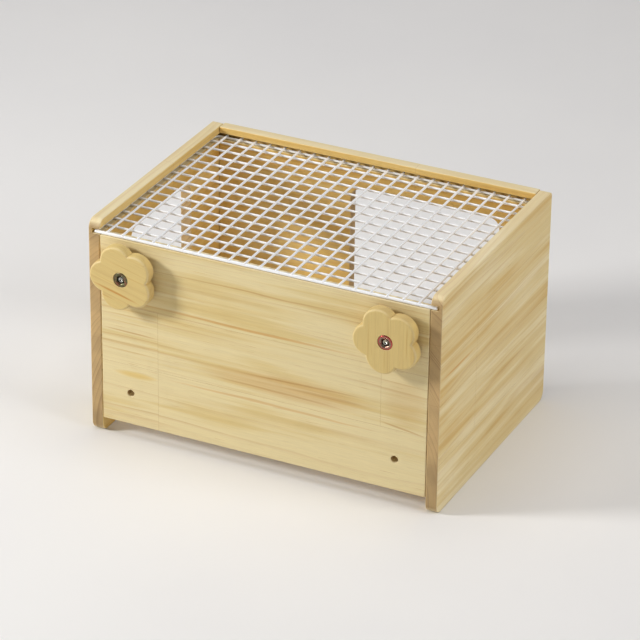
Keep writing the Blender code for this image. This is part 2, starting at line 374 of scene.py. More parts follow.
def pine(
    name,
    along,
    across,
    through,
    spacing=3.3,
    contrast=0.42,
    streaks=1.0,
    flat_only=False,
    seed=0.0,
    sway=12.0,
    rate=0.0042,
    tint=(1.0, 1.0, 1.0),
    end_gain=1.0,
    inward=None,
    marks=(),
):
    """Solid pine: growth rings about each stave's own pith, fibres, end grain, eased edges.

    Rings are true cylinders in the wood, so a line on a face runs on over the edge.
    inward: the direction of the board's inner face, which gets painted shade, darker and more orange; a
    board given it also gets a painted highlight on its upward faces.
    marks: streaks and zones of the board's own figure, and one zone of painted shadow, each as its
    (along, across) middle, half length and half width in mm, lean, amount and colour.
    """
    n = Net(name)
    p = n.vec("SCALE", n.coord.outputs["Object"], scale=1000.0)
    shift = n.split(n.attribute("stave_shift").outputs["Vector"])
    tone, warm, slope = n.split(n.attribute("stave_look").outputs["Vector"])
    glue = n.attribute("stave_glue").outputs["Fac"]
    u0 = n.vec("DOT_PRODUCT", p, along)
    u = n.plus(u0, shift[0])
    v0 = n.vec("DOT_PRODUCT", p, across)
    w0 = n.vec("DOT_PRODUCT", p, through)
    v = n.plus(v0, shift[1])
    w = n.plus(w0, shift[2])
    seeded = n.plus(u, seed * 37.0 + 11.0)

    def stretched(lengthwise, crosswise, extra=0.0):
        return n.join(
            n.plus(n.times(seeded, lengthwise), extra),
            n.times(v, crosswise),
            n.times(w, crosswise),
        )

    # growth rings
    sway1 = n.minus(n.noise(stretched(rate, 0.012), detail=1.5), 0.5)
    sway2 = n.minus(n.noise(stretched(rate * 1.3, 0.014, 40.0), detail=1.5), 0.5)
    ripple = n.minus(n.noise(stretched(0.016, 0.12, 9.0), detail=1.5), 0.5)
    vv = n.plus(n.plus(v, n.times(sway1, sway)), n.times(ripple, 1.0))
    ww = n.plus(n.plus(w, n.times(u, slope)), n.times(sway2, sway))
    radius = n.math("SQRT", n.plus(n.times(vv, vv), n.times(ww, ww)))
    years = n.noise(n.join(n.times(radius, 0.13), seed, 3.0), detail=1.0)
    phase = n.plus(n.times(radius, 1.0 / spacing), n.times(years, 3.2))
    cycle = n.math("FRACT", phase)
    ring = n.ramp(
        cycle,
        [(0.0, 0.0), (0.45, 0.10), (0.74, 0.42), (0.90, 1.0), (0.955, 0.85), (1.0, 0.0)],
    )
    strength = n.between(
        n.noise(n.join(n.times(seeded, 0.004), n.times(radius, 0.085), 5.0), detail=2.0),
        0.40,
        0.72,
        0.12,
        1.0,
        True,
    )
    ring_now = n.times(ring, strength)

    # fibres, bands and clouds
    fibre = n.noise(stretched(0.055, 2.7), detail=4.0, rough=0.62)
    fine = n.noise(stretched(0.11, 6.5, 3.0), detail=2.0, rough=0.6)
    band = n.noise(stretched(0.0038, 0.15, 70.0), detail=2.5, rough=0.50)
    cloud = n.noise(stretched(0.0062, 0.030, 20.0), detail=2.0)
    depth = n.plus(
        n.plus(n.times(band, 0.80 * streaks), n.times(cloud, 0.80)),
        n.minus(n.times(warm, 0.62), n.times(tone, 0.50)),
    )
    colour = n.ramp(
        n.minus(depth, 0.30),
        [(0.0, PALE), (0.34, PALE), (0.56, HONEY), (0.86, WARM), (1.0, WARM)],
        "EASE",
    )
    colour = n.mix(n.times(ring_now, contrast), colour, LATE)
    curl = n.minus(n.noise(stretched(0.011, 0.05, 55.0), detail=2.0), 0.5)
    for at_u, at_v, half_u, half_v, lean, amount, hue in marks:
        du = n.minus(u0, at_u)
        dv = n.minus(n.minus(n.plus(v0, n.times(curl, 5.0)), n.times(du, lean)), at_v)
        a, b = n.times(du, 1.0 / half_u), n.times(dv, 1.0 / half_v)
        out = n.plus(n.times(a, a), n.times(b, b))
        there = n.between(out, 0.0, 1.0, amount, 0.0, True)
        there = n.times(there, n.between(band, 0.30, 0.62, 0.62, 1.0))
        colour = n.mix(there, colour, hue)
    # pale flecks between the rings, thin dark resin ducts along the fibres
    flecks = n.between(fine, 0.60, 0.74)
    colour = n.mix(n.times(flecks, 0.16), colour, PALE)
    duct_noise = n.noise(stretched(0.045, 1.9, 90.0), detail=1.0)
    ducts = n.between(duct_noise, 0.715, 0.775)
    colour = n.mix(n.times(ducts, 0.42), colour, LATE)
    grey = n.plus(n.times(n.minus(fibre, 0.5), 0.34), 1.0)
    colour = n.mix(1.0, colour, n.join(grey, grey, grey), "MULTIPLY")
    level = n.plus(n.times(tone, 0.17), 1.0)
    colour = n.mix(1.0, colour, n.join(level, level, level), "MULTIPLY")
    colour = n.mix(1.0, colour, (*tint, 1.0), "MULTIPLY")
    normal = n.coord.outputs["Normal"]
    if inward is not None:
        # painted shade: the faces towards the inside of the box are made darker and more orange
        painted_inner_shade = n.between(n.vec("DOT_PRODUCT", normal, inward), 0.5, 0.9, 0.0, 1.0, True)
        colour = n.mix(painted_inner_shade, colour, (1.03, 0.89, 0.60, 1.0), "MULTIPLY")
        # painted highlight: faces that look up are paler
        over = n.between(n.vec("DOT_PRODUCT", normal, Vector((0, 0, 1))), 0.5, 0.95, 0.0, 0.34, True)
        colour = n.mix(over, colour, srgb(238, 226, 198))

    # end grain: the same rings cut across, darker and duller
    facing = n.math("ABSOLUTE", n.vec("DOT_PRODUCT", normal, along))
    end = n.between(facing, 0.62, 0.90, 0.0, 1.0, True)
    vessels = n.noise(n.join(n.times(u, 0.4), n.times(v, 2.4), n.times(w, 2.4)), detail=3.0)
    end_ring = n.times(ring, n.plus(n.times(strength, 0.55), 0.02))
    end_colour = n.mix(end_ring, END_PALE, END_DARK)
    speck = n.plus(n.times(n.minus(vessels, 0.5), 0.55), 1.0)
    end_colour = n.mix(1.0, end_colour, n.join(speck, speck, speck), "MULTIPLY")
    shades = n.plus(n.times(n.minus(cloud, 0.5), 0.9), n.plus(n.times(tone, 0.12), 1.0))
    end_colour = n.mix(1.0, end_colour, n.join(shades, shades, shades), "MULTIPLY")
    colour = n.mix(n.times(end, end_gain), colour, end_colour)

    # glue line between staves
    colour = n.mix(n.times(glue, 0.60), colour, GLUE)

    # eased edges are sanded paler, with a little handling wear
    if flat_only:
        out = n.math("ABSOLUTE", n.vec("DOT_PRODUCT", normal, through))
        edge = n.times(
            n.between(out, 0.25, 0.6, 0.0, 1.0, True),
            n.between(out, 0.90, 0.995, 1.0, 0.0, True),
        )
    else:
        nx, ny, nz = n.split(n.vec("ABSOLUTE", normal))
        most = n.math("MAXIMUM", n.math("MAXIMUM", nx, ny), nz)
        edge = n.between(most, 0.88, 0.985, 1.0, 0.0, True)
    worn = n.noise(n.vec("SCALE", n.coord.outputs["Object"], scale=70.0), detail=3.0)
    wear = n.times(edge, n.between(worn, 0.35, 0.70, 0.15, 0.75))
    colour = n.mix(n.times(wear, 0.45), colour, srgb(240, 224, 184))
    # faint handling marks
    marks = n.noise(n.vec("SCALE", n.coord.outputs["Object"], scale=16.0), detail=4.0, rough=0.7)
    grime = n.between(marks, 0.60, 0.78)
    colour = n.mix(n.times(grime, 0.09), colour, srgb(150, 118, 78))
    n.put(n.shader.inputs["Base Color"], colour)

    rough = n.plus(n.times(n.minus(fibre, 0.5), 0.20), 0.53)
    rough = n.plus(rough, n.times(end, 0.16))
    rough = n.minus(rough, n.times(ring_now, 0.07))
    rough = n.minus(rough, n.times(wear, 0.06))
    n.put(n.shader.inputs["Roughness"], rough)
    n.shader.inputs["Specular IOR Level"].default_value = 0.36
    height = n.plus(n.times(fibre, 0.55), n.times(fine, 0.25))
    height = n.plus(height, n.times(ring_now, 0.30))
    height = n.minus(height, n.times(ducts, 0.35))
    height = n.plus(height, n.times(n.times(end, vessels), 0.6))
    height = n.minus(height, n.times(glue, 0.35))
    n.put(n.shader.inputs["Normal"], n.bump(height, 0.32, 0.00022))
    return n.mat


def coated_wire(name):
    """Thick glossy white dip coating over welded wire."""
    n = Net(name)
    p = n.coord.outputs["Object"]
    soft = n.noise(n.vec("SCALE", p, scale=55.0), detail=3.0)
    peel = n.noise(n.vec("SCALE", p, scale=1500.0), detail=2.0)
    colour = n.mix(
        n.between(soft, 0.32, 0.72), srgb(252, 253, 254), srgb(246, 248, 250)
    )
    dust = n.between(n.noise(n.vec("SCALE", p, scale=240.0), detail=4.0, rough=0.7), 0.60, 0.78)
    # dust over the coating at random, and painted shade greying the welds where the wires cross
    weld = n.attribute("weld").outputs["Fac"]
    colour = n.mix(
        n.plus(n.times(dust, 0.08), n.times(weld, 0.16)), colour, srgb(196, 194, 186)
    )
    n.put(n.shader.inputs["Base Color"], colour)
    n.put(
        n.shader.inputs["Roughness"],
        n.plus(n.times(soft, 0.14), n.plus(n.times(dust, 0.12), 0.19)),
    )
    n.shader.inputs["Specular IOR Level"].default_value = 0.5
    n.shader.inputs["Coat Weight"].default_value = 0.35
    n.shader.inputs["Coat Roughness"].default_value = 0.12
    n.put(n.shader.inputs["Normal"], n.bump(n.plus(peel, n.times(soft, 2.0)), 0.10, 0.00012))
    return n.mat


def plated(name, base, second, third, rough=0.30, axis=None, rim=0.0):
    """Plated steel: colour clouds, fine scratches and turning marks about axis (x, z)."""
    n = Net(name)
    p = n.coord.outputs["Object"]
    blot = n.noise(n.vec("SCALE", p, scale=420.0), detail=3.0, rough=0.6)
    blot2 = n.noise(n.vec("SCALE", n.vec("ADD", p, (0.3, 0.1, 0.7)), scale=260.0), detail=2.0)
    colour = n.mix(n.between(blot, 0.36, 0.64), base, second)
    colour = n.mix(n.between(blot2, 0.46, 0.66, 0.0, 0.8), colour, third)
    turning = 0.5
    if axis:
        x, y, z = n.split(p)
        dx, dz = n.minus(x, axis[0]), n.minus(z, axis[1])
        r = n.math("SQRT", n.plus(n.times(dx, dx), n.times(dz, dz)))
        turning = n.noise(n.join(n.times(r, 9000.0), n.times(y, 900.0), 0.0), detail=2.0)
        if rim:
            ringed = n.between(r, 0.0052, 0.0066, 0.0, rim, True)
            colour = n.mix(ringed, colour, third)
    scratch = n.noise(
        n.vec("MULTIPLY", p, (5200.0, 900.0, 900.0)), detail=3.0, rough=0.7
    )
    marks = n.between(scratch, 0.60, 0.72)
    colour = n.mix(n.times(marks, 0.22), colour, srgb(222, 222, 216))
    n.put(n.shader.inputs["Base Color"], colour)
    n.shader.inputs["Metallic"].default_value = 1.0
    r_out = n.plus(n.times(n.minus(blot, 0.5), 0.22), rough)
    if axis:
        r_out = n.plus(r_out, n.times(n.minus(turning, 0.5), 0.12))
    r_out = n.plus(r_out, n.times(marks, 0.08))
    n.put(n.shader.inputs["Roughness"], r_out)
    height = n.plus(n.times(blot, 0.5), n.times(marks, -0.3))
    if axis:
        height = n.plus(height, n.times(turning, 0.5))
    n.put(n.shader.inputs["Normal"], n.bump(height, 0.20, 0.00006))
    return n.mat


# ------------------------------------------------------------------ staves
X, Y, Z = Vector((1, 0, 0)), Vector((0, 1, 0)), Vector((0, 0, 1))
GLUE_HALF = 0.11 * MM


def bisect(bm, at, normal):
    bmesh.ops.bisect_plane(
        bm,
        geom=bm.verts[:] + bm.edges[:] + bm.faces[:],
        dist=1e-7,
        plane_co=at,
        plane_no=normal,
    )


def lay_staves(obj, along, across, rows):
    """Divides a board into its glued staves and writes each stave's own wood to its faces.

    rows: (top, [(end, tone, warm, pith, slope), ...]) from the lowest row up; a row's top and
    a stave's end are distances along across and along. pith is its (along, across, through)
    offset in mm.
    """
    bm = bmesh.new()
    bm.from_mesh(obj.data)
    tops = [top for top, _ in rows[:-1]]
    for top in tops:
        for d in (-GLUE_HALF, GLUE_HALF):
            bisect(bm, across * (top + d), across)
    ends = sorted({s[0] for _, staves in rows for s in staves[:-1]})
    for e in ends:
        for d in (-GLUE_HALF, GLUE_HALF):
            bisect(bm, along * (e + d), along)
    mesh = obj.data
    bm.normal_update()
    bm.to_mesh(mesh)
    bm.free()
    shift = mesh.attributes.new("stave_shift", "FLOAT_VECTOR", "FACE")
    look = mesh.attributes.new("stave_look", "FLOAT_VECTOR", "FACE")
    glue = mesh.attributes.new("stave_glue", "FLOAT", "FACE")
    for face in mesh.polygons:
        c = face.center
        v, u = c.dot(across), c.dot(along)
        row = next((r for r in rows if v < r[0]), rows[-1])
        stave = next((s for s in row[1] if u < s[0]), row[1][-1])
        seam = any(abs(v - t) < GLUE_HALF * 1.01 for t in tops) or any(
            abs(u - s[0]) < GLUE_HALF * 1.01 for s in row[1][:-1]
        )
        _, tone, warm, pith, slope = stave
        shift.data[face.index].vector = pith
        look.data[face.index].vector = (tone, warm, slope)
        glue.data[face.index].value = 1.0 if seam else 0.0


def settle(obj, body, slot, mat, *nodes):
    """Gives a finished piece its material and body, and hides the CAD nodes it stands for. The slot
    argument is not used.
    """
    obj.data.materials.clear()
    obj.data.materials.append(mat)
    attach(obj, body)
    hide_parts(*nodes)
    return obj


# ------------------------------------------------------------------ side panels
END_RADIUS = 9.0 * MM
BACK_TOP_RADIUS = 4.0 * MM


def side_outline(doorway):
    """Profile of a side panel in (Y, Z), anticlockwise."""
    r, b, y0, y1 = END_RADIUS, BACK_TOP_RADIUS, FRONT_Y, BACK_Y
    points = arc((y0 + r, r), r, 180, 270, 12)
    if doorway:
        near, far = SIDE_DOOR
        d = DOOR_RADIUS
        points += [(near, 0.0)]
        points += arc((near + d, DOOR_TOP - d), d, 180, 90, 12)
        points += arc((far - d, DOOR_TOP - d), d, 90, 0, 12)
        points += [(far, 0.0)]
    points += arc((y1 - r, r), r, 270, 360, 12)
    points += arc((y1 - b, HEIGHT - b), b, 0, 90, 8)
    points += arc((y0 + r, HEIGHT - r), r, 90, 180, 12)
    return points


def side_board(name, sign, doorway):
    inner, outer = sign * INNER, sign * HALF_WIDTH
    upright = Matrix(((0, 0, 1, 0), (1, 0, 0, 0), (0, 1, 0, 0), (0, 0, 0, 1)))
    bm = bmesh.new()
    prism(bm, side_outline(doorway), min(inner, outer), max(inner, outer), upright)
    obj = mesh_object(name, bm)
    soften(obj, 1.1 * MM, 3)
    # groove for the wire top, its mouth slightly chamfered
    bm = bmesh.new()
    c, out = 0.4 * MM, 2.0 * MM
    floor = inner + sign * GROOVE_DEPTH
    section = [
        (inner - sign * out, GROOVE_LOW - c - out),
        (inner + sign * c, GROOVE_LOW),
        (floor, GROOVE_LOW),
        (floor, GROOVE_HIGH),
        (inner + sign * c, GROOVE_HIGH),
        (inner - sign * out, GROOVE_HIGH + c + out),
    ]
    lengthwise = Matrix(((1, 0, 0, 0), (0, 0, 1, 0), (0, 1, 0, 0), (0, 0, 0, 1)))
    prism(bm, section, FRONT_Y - 3 * MM, GROOVE_BACK, lengthwise)
    bmesh.ops.recalc_face_normals(bm, faces=bm.faces)
    holes = bmesh.new()
    for y in (FRONT_Y + BOARD / 2, BACK_Y - BOARD / 2):
        for z in DOWEL_HEIGHTS.values():
            lathe(
                holes,
                [
                    (0, -3.0 * MM),
                    (3.3 * MM, -3.0 * MM),
                    (3.3 * MM, 7.0 * MM),
                    (0, 7.8 * MM),
                ],
                along_x(inner, y, z) if sign > 0 else
                Matrix.Translation((inner, y, z)) @ Matrix.Rotation(-math.pi / 2, 4, "Y"),
                32,
            )
    cut(obj, bm, holes)
    return obj


left_board = side_board("left_side_board", -1, True)
right_board = side_board("right_side_board", 1, False)

lay_staves(
    right_board,
    Y,
    Z,
    [
        (0.050, [(9, 0.05, 0.10, (0, 45, -60), 0.010)]),
        (
            0.110,
            [
                (FRONT_Y + 0.080, 0.30, 0.0, (140, -85, -150), 0.006),
                (9, -0.35, 0.35, (-60, -92, -155), -0.022),
            ],
        ),
        (
            0.170,
            [
                (FRONT_Y + 0.080, 0.35, -0.15, (30, -96, -128), 0.012),
                (9, -0.15, 0.25, (77, -215, -140), 0.020),
            ],
        ),
        (9, [(9, 0.20, -0.05, (-40, -190, -60), 0.014)]),
    ],
)
lay_staves(
    left_board,
    Y,
    Z,
    [
        (0.044, [(9, -0.10, 0.2, (20, -24, 150), 0.012)]),
        (
            0.098,
            [
                (FRONT_Y + 0.205, -0.05, 0.3, (-30, -40, 190), -0.010),
                (9, 0.2, 0.0, (90, -120, 120), 0.018),
            ],
        ),
        (0.152, [(9, -0.10, 0.3, (-20, -96, 195), 0.010)]),
        (
            9,
            [
                (FRONT_Y + 0.142, 0.10, 0.2, (60, -182, 95), 0.008),
                (9, -0.2, 0.3, (10, -150, 140), -0.012),
            ],
        ),
    ],
)
for board in (left_board, right_board):
    shade(board)

settle(
    left_board,
    "hutch_box",
    "pine_side",
    pine(
        "pine_left_side",
        Y,
        Z,
        X,
        spacing=4.2,
        contrast=0.42,
        seed=2.0,
        tint=(1.0, 1.0, 0.98),
        inward=X,
        marks=[
            # the first mark is painted shadow, a darker zone down the front end of the board; the rest
            # are dark growth lines
            (-115, 150, 5, 46, 0.0, 0.45, END_DARK),
            (-115, 130, 6, 1.0, 0.0, 0.6, END_DARK),
            (-115, 101, 6, 1.1, 0.2, 0.6, END_DARK),
            (-115, 80, 6, 0.9, -0.2, 0.5, END_DARK),
            (-115, 65, 6, 1.0, 0.1, 0.5, END_DARK),
        ],
    ),
    "left_side_panel",
)
settle(
    right_board,
    "hutch_box",
    "pine_side",
    pine(
        "pine_right_side",
        Y,
        Z,
        X,
        spacing=4.4,
        contrast=0.36,
        streaks=1.15,
        seed=5.0,
        tint=(1.04, 1.045, 1.09),
        inward=-X,
        marks=[
            (-78, 134, 44, 1.3, 0.0, 0.7, STREAK),
            (30, 120, 90, 9, 0.01, 0.30, WARM),
            (20, 62, 110, 7, -0.01, 0.30, WARM),
            (-60, 92, 50, 7, 0.0, 0.35, PALE),
        ],
    ),
    "right_side_panel",
)

# ------------------------------------------------------------------ front panel
bm = bmesh.new()
prism(
    bm,
    [
        (-PANEL_HALF, FRONT_FOOT),
        (PANEL_HALF, FRONT_FOOT),
        (PANEL_HALF, FRONT_TOP),
        (-PANEL_HALF, FRONT_TOP),
    ],
    -(FRONT_Y + BOARD),
    -FRONT_Y,
    Matrix.Rotation(math.pi / 2, 4, "X"),
)
front_board = mesh_object("front_board", bm)
soften(front_board, 1.1 * MM, 3)


def dowel_holes(bm, y):
    """The part of each dowel's hole that is in a front or back panel."""
    for sign in (-1, 1):
        for z in DOWEL_HEIGHTS.values():
            turn = Matrix.Rotation(-sign * math.pi / 2, 4, "Y")
            lathe(
                bm,
                [
                    (0, -3.0 * MM),
                    (3.3 * MM, -3.0 * MM),
                    (3.3 * MM, 20.0 * MM),
                    (0, 21.2 * MM),
                ],
                Matrix.Translation((sign * INNER, y, z)) @ turn,
                32,
            )


drills, pegs = bmesh.new(), bmesh.new()
for x, z in (*BOLTS.values(), *SPARES.values()):
    spool(
        drills,
        3.5 * MM,
        0.0,
        BOARD,
        0.35 * MM,
        facing_front(x, FRONT_Y + BOARD, z),
    )
dowel_holes(pegs, FRONT_Y + BOARD / 2)
cut(front_board, drills, pegs)
lay_staves(
    front_board,
    X,
    Z,
    [
        (
            0.077,
            [
                (-0.105, 0.55, -0.55, (0, -52, 128), 0.020),
                (9, -0.15, 0.15, (210, 30, 100), 0.008),
            ],
        ),
        (
            0.137,
            [
                (-0.105, 0.50, -0.45, (-40, 60, 150), -0.008),
                (0.118, -0.12, 0.20, (33, -90, 124), 0.012),
                (9, -1.15, 0.45, (300, -60, 135), 0.030),
            ],
        ),
        (9, [(9, 0.05, 0.10, (-90, -330, 90), -0.010)]),
    ],
)
shade(front_board)
settle(
    front_board,
    "hutch_box",
    "pine_front",
    pine(
        "pine_front",
        X,
        Z,
        Y,
        spacing=4.8,
        contrast=0.38,
        seed=1.0,
        sway=8.0,
        rate=0.0032,
        streaks=0.75,
        tint=(0.985, 0.985, 0.95),
        inward=Y,
        marks=[
            (-133, 128, 32, 0.9, 0.0, 0.40, WARM),
            (-133, 120, 32, 0.8, -0.01, 0.40, WARM),
            (-133, 110, 34, 1.1, -0.01, 0.65, LATE),
            (-133, 97, 32, 0.8, 0.0, 0.40, WARM),
            (-135, 90, 30, 0.9, 0.01, 0.40, WARM),
            (-128, 68, 26, 4.5, 0.0, 0.65, srgb(224, 188, 96)),
            (25, 92, 98, 14, 0.0, 0.60, srgb(206, 160, 88)),
            (40, 99, 74, 1.4, 0.02, 0.55, LATE),
            (18, 86, 80, 1.3, -0.015, 0.55, LATE),
            (62, 92.5, 50, 1.5, 0.0, 0.50, LATE),
            (20, 122, 110, 11, 0.0, 0.60, PALE),
            (-10, 141.5, 125, 1.7, 0.0, 0.65, STREAK),
            (10, 71, 120, 1.6, 0.0, 0.60, STREAK),
            (0, 180, 135, 1.0, 0.003, 0.50, LATE),
            (142, 105, 26, 28, 0.0, 0.35, srgb(202, 160, 96)),
            (140, 79.5, 26, 1.2, -0.15, 0.60, LATE),
        ],
    ),
    "front_panel",
)

# ------------------------------------------------------------------ back panel
d = DOOR_RADIUS
door_left, door_right = BACK_DOOR
outline = [(-PANEL_HALF, FRONT_FOOT), (door_left, FRONT_FOOT)]
outline += arc((door_left + d, DOOR_TOP - d), d, 180, 90, 12)
outline += arc((door_right - d, DOOR_TOP - d), d, 90, 0, 12)
outline += [
    (door_right, FRONT_FOOT),
    (PANEL_HALF, FRONT_FOOT),
    (PANEL_HALF, HEIGHT),
    (-PANEL_HALF, HEIGHT),
]
bm = bmesh.new()
prism(bm, outline, -BACK_Y, -(BACK_Y - BOARD), Matrix.Rotation(math.pi / 2, 4, "X"))
back_board = mesh_object("back_board", bm)
soften(back_board, 1.1 * MM, 3)
face = BACK_Y - BOARD
c, out = 0.4 * MM, 2.0 * MM
section = [
    (face - out, GROOVE_LOW - c - out),
    (face + c, GROOVE_LOW),
    (face + GROOVE_DEPTH, GROOVE_LOW),
    (face + GROOVE_DEPTH, BACK_GROOVE_HIGH),
    (face + c, BACK_GROOVE_HIGH),
    (face - out, BACK_GROOVE_HIGH + c + out),
]
groove = bmesh.new()
prism(
    groove,
    section,
    -HALF_WIDTH,
    HALF_WIDTH,
    Matrix(((0, 0, 1, 0), (1, 0, 0, 0), (0, 1, 0, 0), (0, 0, 0, 1))),
)
bmesh.ops.recalc_face_normals(groove, faces=groove.faces)
pegs = bmesh.new()
dowel_holes(pegs, BACK_Y - BOARD / 2)
cut(back_board, groove, pegs)
lay_staves(
    back_board,
    X,
    Z,
    [
        (
            0.058,
            [
                (-0.060, 0.10, 0.1, (10, -36, -90), 0.010),
                (9, -0.10, 0.2, (120, -70, -60), 0.014),
            ],
        ),
        (0.112, [(9, 0.15, 0.0, (-50, -140, -100), -0.012)]),
        (
            0.166,
            [(-0.088, -0.20, 0.3, (40, -139, -104), 0.020), (9, 0.1, 0.1, (5, 0, -60), 0.01)],
        ),
        (
            9,
            [
                (0.042, 0.25, 0.0, (-120, -260, -60), 0.010),
                (9, 0.0, 0.2, (80, -190, -98), -0.020),
            ],
        ),
    ],
)
shade(back_board)
settle(
    back_board,
    "hutch_box",
    "pine_back",
    pine(
        "pine_back",
        X,
        Z,
        Y,
        spacing=4.2,
        contrast=0.42,
        seed=8.0,
        tint=(1.0, 1.0, 0.98),
        inward=-Y,
    ),
    "back_panel",
)

# ------------------------------------------------------------------ dowels
beech = Net("fluted_beech")
p = beech.vec("SCALE", beech.coord.outputs["Object"], scale=1000.0)
grain = beech.noise(beech.vec("MULTIPLY", p, (0.12, 3.0, 3.0)), detail=4.0, rough=0.6)
rays = beech.noise(beech.vec("MULTIPLY", p, (0.9, 5.0, 2.2)), detail=1.0)
tint = beech.noise(beech.vec("MULTIPLY", p, (0.03, 0.05, 0.05)), detail=1.0)
colour = beech.mix(beech.between(grain, 0.3, 0.7), srgb(212, 176, 130), srgb(186, 142, 96))
colour = beech.mix(beech.between(rays, 0.66, 0.74, 0.0, 0.55), colour, srgb(140, 98, 62))
colour = beech.mix(beech.between(tint, 0.35, 0.65, 0.0, 0.3), colour, srgb(222, 190, 148))
tip = beech.between(
    beech.math(
        "ABSOLUTE", beech.vec("DOT_PRODUCT", beech.coord.outputs["Normal"], X)
    ),
    0.6,
    0.95,
)
colour = beech.mix(beech.times(tip, 0.55), colour, srgb(150, 110, 74))
beech.put(beech.shader.inputs["Base Color"], colour)
beech.put(
    beech.shader.inputs["Roughness"], beech.plus(beech.times(grain, 0.2), 0.5)
)
beech.put(beech.shader.inputs["Normal"], beech.bump(grain, 0.3, 0.0002))

for end, y in (("front", FRONT_Y + BOARD / 2), ("back", BACK_Y - BOARD / 2)):
    for side, sign in (("left", -1), ("right", 1)):
        for level, z in DOWEL_HEIGHTS.items():
            bm = bmesh.new()
            place = along_x(sign * (INNER + 7.5 * MM - 14.0 * MM), y, z)
            steps = 72
            rows = [(-14.0, -0.8), (-13.2, 0.0), (13.2, 0.0), (14.0, -0.8)]
            rings = []
            for at, less in rows:
                ring = []
                for i in range(steps):
                    a = 2 * math.pi * i / steps
                    flute = 0.24 * max(0.0, math.cos(12 * a)) ** 2
                    r = (3.0 + less - flute) * MM
                    ring.append(
                        bm.verts.new(
                            place @ Vector((r * math.cos(a), r * math.sin(a), at * MM))
                        )
                    )
                rings.append(ring)
            bm.faces.new(rings[0][::-1])
            bm.faces.new(rings[-1])
            for lower, upper in zip(rings, rings[1:]):
                for i in range(steps):
                    j = (i + 1) % steps
                    bm.faces.new((lower[i], lower[j], upper[j], upper[i]))
            peg = mesh_object(f"fluted_dowel_{end}_{side}_{level}", bm)
            shade(peg, 36, weighted=False)
            settle(
                peg, "hutch_box", "beech_dowel", beech.mat, f"dowel_{end}_{side}_{level}"
            )

# ------------------------------------------------------------------ wire top
WIRE = 1.15 * MM
ROD = 1.5 * MM
FRAME_WIRE = 1.2 * MM
LEVEL = WIRE_LOW.z + 1.2 * MM  # cross wires, frame and rod
UPPER = LEVEL + 1.8 * MM  # the wires that run front to back lie on top
ROD_Y = FRONT_Y + 2.1 * MM
RAIL_X = 168.2 * MM
LONG_XS = [(-156.0 + 15.4 * i) * MM for i in range(21)]
CROSS_YS = [121.8 * MM] + [(109.2 - 15.9 * i) * MM for i in range(14)]
CORNER = 6.0 * MM


def wobble(seed, t, size):
    """A slight, repeatable waviness, as welded wire has."""
    return size * (
        math.sin(seed * 12.9898 + t * 5.1)
        + 0.6 * math.sin(seed * 4.1414 + t * 11.7)
        + 0.35 * math.sin(seed * 7.77 + t * 23.0)
    )


def tube(bm, points, radius, sides=14, weld=0.0, layer=None):
    """A round wire along points, with domed ends."""
    points = [Vector(p) for p in points]
    n = len(points)
    tangents = []
    for i in range(n):
        a, b = points[max(i - 1, 0)], points[min(i + 1, n - 1)]
        tangents.append((b - a).normalized())
    side = tangents[0].cross(Vector((0, 0, 1)))
    if side.length < 1e-6:
        side = Vector((1, 0, 0))
    side.normalize()
    stations = []
    for k in (0.0, 0.30, 0.60, 0.85):
        a = math.pi / 2 * k
        stations.append(
            (points[0] - tangents[0] * radius * 0.75 * math.cos(a), tangents[0], radius * math.sin(a))
        )
    for pt, tg in zip(points, tangents):
        stations.append((pt, tg, radius))
    for k in (0.85, 0.60, 0.30, 0.0):
        a = math.pi / 2 * k
        stations.append(
            (points[-1] + tangents[-1] * radius * 0.75 * math.cos(a), tangents[-1], radius * math.sin(a))
        )
    rings = []
    for pt, tg, r in stations:
        side = (side - tg * side.dot(tg)).normalized()
        up = side.cross(tg)
        if r < 1e-9:
            rings.append([bm.verts.new(pt)])
        else:
            rings.append(
                [
                    bm.verts.new(
                        pt
                        + side * (r * math.cos(2 * math.pi * i / sides))
                        + up * (r * math.sin(2 * math.pi * i / sides))
                    )
                    for i in range(sides)
                ]
            )
    if layer is not None:
        for ring in rings:
            for v in ring:
                v[layer] = weld
    for a, b in zip(rings, rings[1:]):
        for i in range(sides):
            j = (i + 1) % sides
            if len(a) == 1:
                bm.faces.new((a[0], b[i], b[j]))
            elif len(b) == 1:
                bm.faces.new((a[i], a[j], b[0]))
            else:
                bm.faces.new((a[i], a[j], b[j], b[i]))


def blob(bm, layer, at, rx, ry, rz, turn=0.0):
    """A weld with its fillet of coating."""
    made = bmesh.ops.create_icosphere(bm, subdivisions=2, radius=1.0)
    matrix = (
        Matrix.Translation(at)
        @ Matrix.Rotation(turn, 4, "Z")
        @ Matrix.Diagonal((rx, ry, rz, 1))
    )
    bmesh.ops.transform(bm, matrix=matrix, verts=made["verts"])
    for v in made["verts"]:
        v[layer] = 1.0


bm = bmesh.new()
layer = bm.verts.layers.float.new("weld")
# outer frame: one wire down the left groove, round the back and up the right groove
path = [(-RAIL_X, ROD_Y + 0.4 * MM, LEVEL)]
last = CROSS_YS[0]
path += [(-RAIL_X, ROD_Y + (last - CORNER - ROD_Y) * i / 12, LEVEL) for i in range(1, 13)]
path += [
    (x, y, LEVEL)
    for x, y in arc((-RAIL_X + CORNER, last - CORNER), CORNER, 180, 90, 10)[1:]
]
path += [
    (-RAIL_X + CORNER + (2 * RAIL_X - 2 * CORNER) * i / 12, last, LEVEL)
    for i in range(1, 13)
]
path += [
    (x, y, LEVEL)
    for x, y in arc((RAIL_X - CORNER, last - CORNER), CORNER, 90, 0, 10)[1:]
]
path += [
    (RAIL_X, last - CORNER + (ROD_Y + 0.4 * MM - last + CORNER) * i / 12, LEVEL)
    for i in range(1, 13)
]
tube(bm, path, FRAME_WIRE, 14, 0.0, layer)
# stout front rod
tube(
    bm,
    [(-168.4 * MM + 336.8 * MM * i / 16, ROD_Y, LEVEL) for i in range(17)],
    ROD,
    20,
    0.0,
    layer,
)
